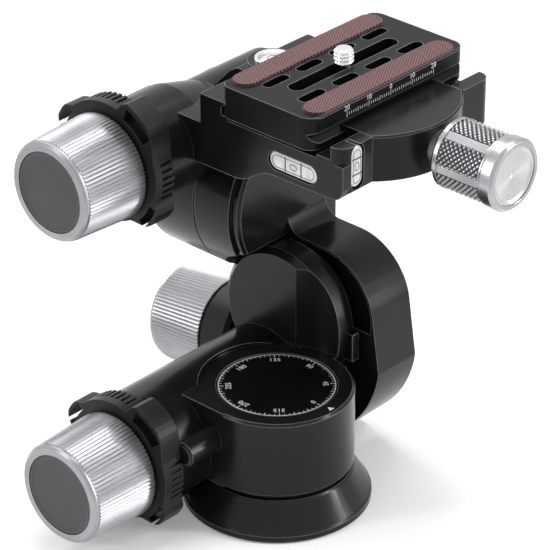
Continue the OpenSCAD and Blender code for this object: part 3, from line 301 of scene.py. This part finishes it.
def print_ink(name, colour):
    """Printed marks, slightly uneven as ink is."""
    made, tree, shader = material(name)
    speck = add(tree, "TexNoise", {"Vector": object_point(tree), "Scale": 2200.0}).outputs["Fac"]
    tree.links.new(blend_colour(tree, speck, tuple(c * 0.86 for c in colour), colour),
                   shader.inputs["Base Color"])
    shader.inputs["Roughness"].default_value = 0.55
    return made


def box_centre(name):
    low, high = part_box(name)
    return (low + high) / 2


BLACK = (0.0070, 0.0072, 0.0080)
# paler colour painted on the outward edges of black metal as a highlight
EDGE_HIGHLIGHT = (0.22, 0.223, 0.23)
# the second colour of each metal() finish is painted on its outward edges as a highlight
FINISHES = {
    "black_metal": metal("black_anodised", BLACK, EDGE_HIGHLIGHT, 0.0, 0.22, round_edge=0.4, level=0.22),
    "plate_metal": metal("black_anodised_plate", (0.0060, 0.0062, 0.0069), (0.28, 0.28, 0.29), 0.0, 0.30,
                         round_edge=0.4, level=0.12),
    "lever_plastic": metal("black_plastic", (0.0090, 0.0090, 0.0100), (0.034, 0.034, 0.036), 0.0, 0.42,
                           grain=1500, depth=0.35, round_edge=0.5, level=0.2),
    "dial_black": metal("dial_black", (0.0030, 0.0030, 0.0034), (0.02, 0.02, 0.02), 0.0, 0.30, level=0.08),
    "knob_grey": metal("grey_anodised", (0.30, 0.305, 0.315), (0.66, 0.66, 0.67), 0.75, 0.34,
                       grain=1200, depth=0.015, round_edge=0.12),
    "cap_grey": metal("knob_cap", (0.060, 0.061, 0.065), (0.22, 0.22, 0.23), 0.1, 0.46, level=0.25),
    "steel": metal("steel", (0.42, 0.43, 0.44), (0.7, 0.7, 0.7), 1.0, 0.30),
    "bright_steel": metal("chrome_screw", (0.82, 0.82, 0.83), (0.9, 0.9, 0.9), 1.0, 0.14, depth=0.04),
    "brass": metal("brass", (0.52, 0.36, 0.12), (0.74, 0.56, 0.26), 1.0, 0.32),
    "silver": metal("silver_aluminium", (0.36, 0.365, 0.375), (0.80, 0.80, 0.80), 1.0, 0.24,
                    depth=0.06, round_edge=0.15),
    "acetal": metal("acetal", (0.62, 0.61, 0.57), (0.72, 0.71, 0.68), 0.0, 0.45, grain=900),
    "pad": pad_mesh("pad_rubber"),
    "glass": level_glass("level_vial"),
    "bubble": level_glass("air_bubble"),
    "white_ink": print_ink("white_ink", (0.82, 0.82, 0.82)),
    # black print, also used for the painted dark outline round the tube levels' bubbles
    "black_print_and_painted_rim": print_ink("black_print_and_painted_rim", (0.02, 0.02, 0.02)),
}
FINISHES["clamp_cap"] = turned_metal("silver_turned", (0.56, 0.56, 0.57), 0.26,
                                     box_centre("clamp_knob_cap"), (1, 0, 0))
FINISHES["knurl"] = knurled_metal("silver_knurled", box_centre("clamp_knob"))

NODE_FINISH = {
    "black_metal": ["base_flange", "pan_housing", "tilt_arm", "platform", "clamp_jaw", "pan_release_plunger"],
    "plate_metal": ["quick_release_plate"],
    "lever_plastic": ["pan_release_lever", "front_release_lever", "side_collar", "thrust_washer"],
    "dial_black": ["dial_plate"],
    "knob_grey": ["pan_knob", "side_knob", "front_knob"],
    "cap_grey": ["pan_knob_cap", "side_knob_cap", "front_knob_cap", "side_axle_cap", "front_end_cap"],
    "steel": ["pan_spindle", "spindle_screws", "spindle_nut", "side_axle", "front_axle", "pan_worm",
              "side_worm", "front_worm", "jaw_guide_pins", "plate_stop_screws", "screw_retainer"],
    "bright_steel": ["clamp_screw", "lock_pin", "bubble_level_ring", "camera_screw"],
    "brass": ["pan_gear", "side_gear", "front_gear", "spindle_bush", "side_axle_bush", "front_axle_bush",
              "pan_worm_bearings", "side_worm_bearings", "front_worm_bearings", "clamp_nut"],
    "silver": ["clamp_knob"],
    "clamp_cap": ["clamp_knob_cap"],
    "acetal": ["friction_washer"],
    "pad": ["plate_pads"],
    "glass": ["bubble_level", "front_level_vial", "side_level_vial"],
}


def dress_nodes():
    for finish, names in NODE_FINISH.items():
        for name in names:
            mesh = nodes[name].data
            mesh.materials.clear()
            mesh.materials.append(FINISHES[finish])


# ---------- tools for new pieces ----------
MARK = 0.04 * MM
CAPITALS = 0.7


def select_only(*objects):
    bpy.ops.object.select_all(action="DESELECT")
    for o in objects:
        o.select_set(True)
    bpy.context.view_layer.objects.active = objects[0]


def settle(piece, name, finish, body, matrix=None):
    """Puts a piece's place into its mesh and hangs it on its body."""
    piece.data.transform((matrix or Matrix()) @ piece.matrix_basis)
    piece.matrix_basis = Matrix()
    piece.name = name
    piece.data.materials.clear()
    piece.data.materials.append(FINISHES[finish])
    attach(piece, body)
    return piece


def join(pieces):
    select_only(*pieces)
    bpy.ops.object.join()
    return bpy.context.object


def mark_bar(width, length):
    """One printed bar, its lower end at the origin, running along +Y."""
    bpy.ops.object.select_all(action="DESELECT")
    bpy.ops.mesh.primitive_cube_add(size=1)
    bar = bpy.context.object
    bar.data.transform(Matrix.Diagonal((width, length, MARK, 1)) @ Matrix.Translation((0, 0.5, 0.5)))
    return bar


def copy_of(piece, matrix):
    twin = piece.copy()
    twin.data = piece.data.copy()
    twin.data.transform(matrix)
    bpy.context.scene.collection.objects.link(twin)
    return twin


def number(text, height):
    """Raised digits, centred on the origin, in the XY plane and facing +Z."""
    bpy.ops.object.select_all(action="DESELECT")
    bpy.ops.object.text_add()
    digits = bpy.context.object
    digits.data.body = text
    digits.data.size = height / CAPITALS
    digits.data.align_x = "CENTER"
    digits.data.align_y = "CENTER"
    digits.data.extrude = MARK / 2
    digits.data.resolution_u = 3
    select_only(digits)
    bpy.ops.object.convert(target="MESH")
    digits = bpy.context.object
    digits.data.transform(Matrix.Translation((0, 0, MARK / 2)))
    return digits


def flat_ring(r_out, width, thick, steps=144):
    """A thin printed ring round the Z axis."""
    bpy.ops.object.select_all(action="DESELECT")
    bpy.ops.mesh.primitive_circle_add(vertices=steps, radius=r_out, fill_type="NGON")
    ring = bpy.context.object
    bpy.ops.object.mode_set(mode="EDIT")
    bpy.ops.mesh.select_all(action="SELECT")
    bpy.ops.mesh.inset(thickness=width)
    bpy.ops.mesh.delete(type="FACE")
    bpy.ops.mesh.select_all(action="SELECT")
    bpy.ops.mesh.extrude_region_move(TRANSFORM_OT_translate={"value": (0, 0, thick)})
    bpy.ops.mesh.select_all(action="SELECT")
    bpy.ops.mesh.normals_make_consistent(inside=False)
    bpy.ops.object.mode_set(mode="OBJECT")
    return ring


def piece_from(name, points, faces):
    mesh = bpy.data.meshes.new(name)
    mesh.from_pydata(points, [], faces)
    mesh.update()
    piece = bpy.data.objects.new(name, mesh)
    bpy.context.scene.collection.objects.link(piece)
    return piece


def turned_solid(name, rows, around, radius_at):
    """A turned solid along +Z: radius_at(row height, angle) gives each point's radius."""
    points, faces = [], []
    for z in rows:
        for k in range(around):
            angle = 2 * math.pi * k / around
            r = radius_at(z, angle)
            points.append((r * math.cos(angle), r * math.sin(angle), z))
    for i in range(len(rows) - 1):
        for k in range(around):
            n = (k + 1) % around
            faces.append((i * around + k, i * around + n, (i + 1) * around + n, (i + 1) * around + k))
    faces.append(tuple(reversed(range(around))))
    faces.append(tuple(range((len(rows) - 1) * around, len(rows) * around)))
    return piece_from(name, points, faces)


# ---------- the dial's degree scale ----------
BAR_W = 0.2 * MM
RING_R = 18.45 * MM
DEGREE_R = 15.1 * MM


def dial_scale():
    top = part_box("dial_plate")[1].z
    bits = [flat_ring(RING_R, 0.26 * MM, MARK)]
    bar = mark_bar(BAR_W, 1.0 * MM)
    for degrees in range(0, 360, 5):
        length = 1.75 if degrees % 45 == 0 else 1.35 if degrees % 15 == 0 else 1.0
        turn = Matrix.Rotation(math.radians(degrees - 90), 4, "Z")  # zero at the pointer, on +X
        bits.append(copy_of(bar, turn @ Matrix.Translation((0, RING_R - length * MM, 0))
                            @ Matrix.Diagonal((1, length, 1, 1))))
    bpy.data.objects.remove(bar)
    for step in range(8):
        degrees = 45 * step
        digits = number(str(degrees), 1.8 * MM)
        turn = Matrix.Rotation(math.radians(degrees - 90), 4, "Z")
        digits.data.transform(turn @ Matrix.Translation((0, DEGREE_R, 0)))
        bits.append(digits)
    settle(join(bits), "dial_scale", "white_ink", "base",
           Matrix.Translation((0, 0, top)))


def index_mark():
    """White pointer on the housing's rim, its tip towards the dial."""
    rim_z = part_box("dial_plate")[1].z + 0.2 * MM
    bpy.ops.object.select_all(action="DESELECT")
    bpy.ops.mesh.primitive_circle_add(vertices=3, radius=1.25 * MM, fill_type="NGON")
    pointer = bpy.context.object
    bpy.ops.object.mode_set(mode="EDIT")
    bpy.ops.mesh.select_all(action="SELECT")
    bpy.ops.mesh.extrude_region_move(TRANSFORM_OT_translate={"value": (0, 0, MARK)})
    bpy.ops.mesh.select_all(action="SELECT")
    bpy.ops.mesh.normals_make_consistent(inside=False)
    bpy.ops.object.mode_set(mode="OBJECT")
    settle(pointer, "pan_index", "white_ink", "pan_stage",
           Matrix.Translation((22.0 * MM, 0.4 * MM, rim_z)) @ Matrix.Rotation(math.pi / 2, 4, "Z"))


# ---------- the plate's ruler ----------
def plate_ruler():
    """Millimetre scale on the plate's long side, zero in the middle."""
    low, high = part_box("quick_release_plate")
    side_x, middle = high.x, (low.y + high.y) / 2
    # digits and bars stand in the YZ plane and read from the +X side
    upright = Matrix(((0, 0, 1, 0), (1, 0, 0, 0), (0, 1, 0, 0), (0, 0, 0, 1)))
    bits = []
    bar = mark_bar(BAR_W, 1.0 * MM)
    for step in range(-20, 21):
        length = 1.9 if step % 10 == 0 else 1.5 if step % 5 == 0 else 1.0
        bits.append(copy_of(bar, Matrix.Translation((step * MM, -length * MM / 2, 0))
                            @ Matrix.Diagonal((1, length, 1, 1))))
    bpy.data.objects.remove(bar)
    for step in (-20, -10, 0, 10, 20):
        digits = number(str(abs(step)), 1.7 * MM)
        digits.data.transform(Matrix.Translation((step * MM, 2.0 * MM, 0)))
        bits.append(digits)
    settle(join(bits), "plate_ruler", "white_ink", "plate",
           Matrix.Translation((side_x - MARK * 0.5, middle, high.z - 3.3 * MM)) @ upright)


# ---------- camera screw with its thread ----------
THREAD_PITCH = 1.27 * MM
THREAD_R, CORE_R, SHANK_R = 3.175 * MM, 2.55 * MM, 2.45 * MM
HEAD_R, HEAD_H = 5.8 * MM, 2 * MM
SLIVER = 1e-6


def camera_screw():
    low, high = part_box("camera_screw")
    centre = box_centre("camera_screw")
    thread_z0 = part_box("quick_release_plate")[1].z + 0.6 * MM
    thread_z1 = high.z
    rows_per_turn = 12
    count = int((thread_z1 - thread_z0) / THREAD_PITCH * rows_per_turn)
    rows = [low.z, low.z + SLIVER, low.z + 0.3 * MM, low.z + 1.7 * MM, low.z + HEAD_H, low.z + HEAD_H + SLIVER]
    rows += [thread_z0 - 0.4 * MM]
    rows += [thread_z0 + (thread_z1 - thread_z0) * i / count for i in range(count + 1)]

    def radius_at(z, angle):
        if z <= low.z + 1e-9:
            return HEAD_R - 0.35 * MM
        if z <= low.z + HEAD_H + 1e-9:
            return HEAD_R if z < low.z + 1.9 * MM else HEAD_R - 0.3 * MM
        if z < thread_z0 - 1e-9:
            return SHANK_R
        phase = ((z - thread_z0) / THREAD_PITCH - angle / (2 * math.pi)) % 1
        ridge = 1 - abs(2 * phase - 1)
        r = CORE_R + (THREAD_R - CORE_R) * min(1, ridge * 1.25)
        run_in = min(1, (z - thread_z0) / (0.5 * MM))
        run_out = (thread_z1 - z) / (0.8 * MM)
        r = SHANK_R + (r - SHANK_R) * run_in
        return min(r, THREAD_R - 0.75 * MM * max(0, 1 - run_out))

    screw = turned_solid("camera_screw_threaded", rows, 72, radius_at)
    select_only(screw)
    bpy.ops.object.shade_smooth_by_angle(angle=math.radians(28))
    settle(screw, "camera_screw_threaded", "bright_steel", "camera_screw_body",
           Matrix.Translation((centre.x, centre.y, 0)))
    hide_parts("camera_screw")


# ---------- knurling of the clamp knob ----------
def clamp_knurl():
    """Diamond knurling between the six smooth bars of the clamp knob."""
    low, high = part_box("clamp_knob")
    middle = box_centre("clamp_knob")
    bars, bar_turn, bar_half = 6, math.radians(34), math.radians(8.2)
    x0, x1 = low.x + 2.65 * MM, high.x - 5.65 * MM
    diamonds, pitch = 36, 1.75 * MM
    steps = 90
    rows = [i * (x1 - x0) / steps for i in range(steps + 1)]

    def radius_at(z, angle):
        place = (angle - bar_turn + math.pi / bars) % (2 * math.pi / bars) - math.pi / bars
        if abs(place) < bar_half or z < 1e-9 or z > x1 - x0 - 1e-9:
            return GRIP_R - 0.1 * MM
        turn = angle * diamonds / (2 * math.pi)
        a = abs(((turn + z / pitch) % 1) * 2 - 1)
        b = abs(((turn - z / pitch) % 1) * 2 - 1)
        return GRIP_R + KNURL_H * min(1, 1.5 * min(a, b))

    sleeve = turned_solid("clamp_knob_knurl", rows, diamonds * 12, radius_at)
    # the solid's Z becomes +X and its X becomes -Z
    turn = Matrix(((0, 0, 1, 0), (0, 1, 0, 0), (-1, 0, 0, 0), (0, 0, 0, 1)))
    settle(sleeve, "clamp_knob_knurl", "knurl", "clamp_drive",
           Matrix.Translation((x0, middle.y, middle.z)) @ turn)


# ---------- levels ----------
def capsule(length, width, deep, soft):
    """A slot-shaped glass block, long along X, with rounded ends and a soft edge round its front at z = 0."""
    bpy.ops.object.select_all(action="DESELECT")
    bpy.ops.mesh.primitive_cube_add(size=1)
    block = bpy.context.object
    block.data.transform(Matrix.Translation((0, 0, -deep / 2)) @ Matrix.Diagonal((length, width, deep, 1)))
    for group, offset, steps in (("ends", width / 2 * 0.98, 12), ("front", soft, 4)):
        bpy.ops.object.mode_set(mode="EDIT")
        bpy.ops.mesh.select_mode(type="EDGE")
        bpy.ops.mesh.select_all(action="DESELECT")
        bpy.ops.object.mode_set(mode="OBJECT")
        for edge in block.data.edges:
            a, b = (block.data.vertices[i].co for i in edge.vertices)
            if group == "ends":
                edge.select = abs(a.z - b.z) > deep * 0.5
            else:
                edge.select = max(abs(a.z), abs(b.z)) < 1e-7
        bpy.ops.object.mode_set(mode="EDIT")
        bpy.ops.mesh.bevel(offset=offset, segments=steps, affect="EDGES")
        bpy.ops.object.mode_set(mode="OBJECT")
    bpy.ops.object.mode_set(mode="EDIT")
    bpy.ops.mesh.select_all(action="SELECT")
    bpy.ops.mesh.remove_doubles(threshold=1e-6)
    bpy.ops.mesh.normals_make_consistent(inside=False)
    bpy.ops.object.mode_set(mode="OBJECT")
    select_only(block)
    bpy.ops.object.shade_smooth_by_angle(angle=math.radians(35))
    return block


def oval(length, width, tall):
    """An air bubble: a flat dome."""
    bpy.ops.object.select_all(action="DESELECT")
    bpy.ops.mesh.primitive_uv_sphere_add(segments=32, ring_count=16, radius=0.5)
    dome = bpy.context.object
    dome.data.transform(Matrix.Diagonal((length, width, tall, 1)))
    bpy.ops.object.shade_smooth()
    return dome


def slot_rim(length, width, thick):
    """A thin line that runs round a slot with half-round ends."""
    half, r, steps = (length - width) / 2, width / 2, 16
    ring = []
    for k in range(2 * steps + 2):
        side = 1 if k <= steps else -1
        angle = math.pi * ((k if side > 0 else k - 1) / steps - 0.5)
        ring.append((side * half, math.cos(angle), math.sin(angle)))
    points, faces, count = [], [], len(ring)
    for reach, z in ((r, 0), (r, MARK), (r - thick, MARK), (r - thick, 0)):
        points += [(x + reach * c, reach * s, z) for x, c, s in ring]
    for loop in range(4):
        for k in range(count):
            a, b = loop * count + k, loop * count + (k + 1) % count
            c, d = (a + count) % (4 * count), (b + count) % (4 * count)
            faces.append((a, b, d, c))
    return piece_from("slot_rim", points, faces)


def tube_level(node, face, length, width, lines_at):
    """Glass, two black lines and a bubble of a tube level, in the frame that the matrix face gives."""
    sunk = Matrix.Translation((0, 0, -0.05 * MM))
    glass = capsule(length, width, 3.3 * MM, 0.9 * MM)
    settle(glass, node + "_glass", "glass", "front_stage", face @ sunk)
    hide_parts(node)
    bits = []
    bar_l = width - 1.5 * MM
    for at in (-lines_at, lines_at):
        bar = mark_bar(0.42 * MM, bar_l)
        bar.data.transform(sunk @ Matrix.Translation((at, -bar_l / 2, 0)))
        bits.append(bar)
    # the second, small rim is painted shade: a dark outline round the bubble, where the bubble's edge looks
    # dark
    for long, wide in ((length - 2.6 * MM, width - 2.2 * MM), (2.9 * MM, 2.0 * MM)):
        rim = slot_rim(long, wide, 0.2 * MM)
        rim.data.transform(sunk)
        bits.append(rim)
    settle(join(bits), node + "_lines", "black_print_and_painted_rim", "front_stage", face)
    bubble = oval(2.4 * MM, 1.5 * MM, 0.3 * MM)
    bubble.data.transform(sunk)
    settle(bubble, node + "_bubble", "bubble", "front_stage", face)


def tube_levels():
    low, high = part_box("front_level_vial")
    centre = box_centre("front_level_vial")
    # front level: length along X, width along Z, front towards -Y
    front = Matrix(((1, 0, 0, centre.x), (0, 0, -1, low.y), (0, 1, 0, centre.z), (0, 0, 0, 1)))
    tube_level("front_level_vial", front, high.x - low.x, high.z - low.z, 3.2 * MM)
    low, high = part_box("side_level_vial")
    centre = box_centre("side_level_vial")
    # side level: length along Z, width along Y, front towards +X
    side = Matrix(((0, 0, 1, high.x), (0, 1, 0, centre.y), (-1, 0, 0, centre.z), (0, 0, 0, 1)))
    tube_level("side_level_vial", side, high.z - low.z - 1.2 * MM, high.y - low.y, 2.6 * MM)


def round_level():
    low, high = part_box("bubble_level")
    centre = box_centre("bubble_level")
    r = (high.x - low.x) / 2
    rows = [low.z, high.z - 1.2 * MM, high.z - 0.9 * MM, high.z - 0.6 * MM, high.z - 0.35 * MM,
            high.z - 0.15 * MM, high.z - 0.04 * MM, high.z - 0.001 * MM]

    def dome(z, angle):
        return r * math.sqrt(max(0.0, 1 - max(0.0, (z - rows[1]) / (high.z - rows[1])) ** 2 * 0.998))

    glass = turned_solid("bubble_level_glass", rows, 72, dome)
    select_only(glass)
    bpy.ops.object.shade_smooth_by_angle(angle=math.radians(35))
    settle(glass, "bubble_level_glass", "glass", "front_stage",
           Matrix.Translation((centre.x, centre.y, 0)))
    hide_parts("bubble_level")
    top = high.z - 0.22 * MM
    line = flat_ring(2.0 * MM, 0.25 * MM, 0.2 * MM, 64)
    settle(line, "bubble_level_line", "black_print_and_painted_rim", "front_stage",
           Matrix.Translation((centre.x, centre.y, top)))
    bubble = oval(2.6 * MM, 2.6 * MM, 0.5 * MM)
    settle(bubble, "bubble_level_bubble", "bubble", "front_stage",
           Matrix.Translation((centre.x + 0.3 * MM, centre.y, top - 0.05 * MM)))


# ---------- put together ----------
bpy.context.scene.view_settings.view_transform = "Standard"
place_camera()
light_world()
light_studio()
lay_floor()
dress_nodes()
dial_scale()
index_mark()
plate_ruler()
camera_screw()
clamp_knurl()
tube_levels()
round_level()
